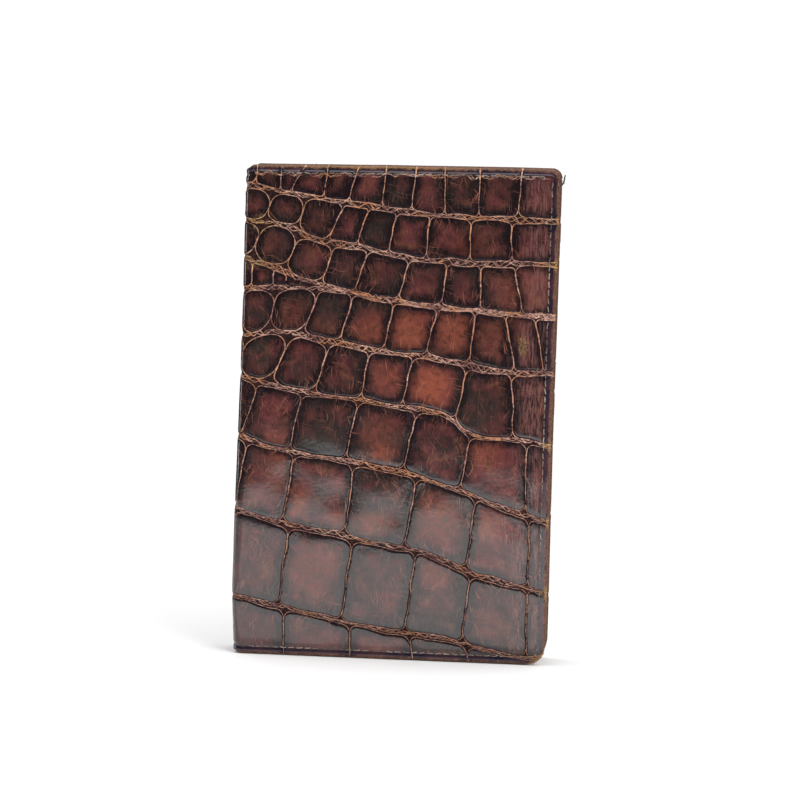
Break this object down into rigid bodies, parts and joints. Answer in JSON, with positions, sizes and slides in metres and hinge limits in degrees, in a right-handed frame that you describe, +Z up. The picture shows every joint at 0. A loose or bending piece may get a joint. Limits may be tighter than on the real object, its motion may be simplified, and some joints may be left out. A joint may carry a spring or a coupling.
{
  "type": "business card case",
  "caption": "Upright bifold card case in crocodile leather, with a gusseted card pocket, a slip pocket and a stamp pocket inside.",
  "frame": {"origin": "middle of the closed case's underside, on the surface that it stands on", "axes": "+Z up along the spine, +Y from the front cover to the back cover, +X from the spine to the free edge"},
  "size_m": [0.07, 0.015, 0.11],
  "materials": {
    "crocodile_hide": "glazed, worn along the edges",
    "lining_calf": "smooth satin",
    "pocket_calf": "fine grained satin",
    "silk": "soft sheen",
    "card_stiffener": "matte",
    "thread": "waxed linen"
  },
  "bodies": {
    "back": {"back_cover_leather": "crocodile_hide", "back_stiffener": "card_stiffener", "back_lining": "lining_calf", "back_edge_stitching": "thread", "card_pocket_panel": "pocket_calf", "card_pocket_facing": "silk", "card_pocket_gusset_top": "lining_calf", "card_pocket_gusset_bottom": "lining_calf", "card_pocket_gusset_side": "lining_calf", "card_pocket_stitching": "thread"},
    "spine": {"spine_leather": "crocodile_hide", "spine_lining": "lining_calf"},
    "front": {"front_cover_leather": "crocodile_hide", "front_stiffener": "card_stiffener", "front_lining": "lining_calf", "front_edge_stitching": "thread", "slip_pocket_panel": "pocket_calf", "slip_pocket_stitching": "thread", "stamp_pocket_panel": "pocket_calf", "stamp_pocket_stitching": "thread"}
  },
  "joints": [
    {"name": "back_crease", "type": "hinge", "parent": "back", "child": "spine", "pos_m": [-0.0345, 0.007, 0], "axis": [0, 0, -1], "range_deg": [0, 90]},
    {"name": "front_crease", "type": "hinge", "parent": "spine", "child": "front", "pos_m": [-0.0345, -0.007, 0], "axis": [0, 0, -1], "range_deg": [0, 90]}
  ],
  "couplings": [
    {"joint": "front_crease", "follows": "back_crease", "ratio": 1}
  ]
}
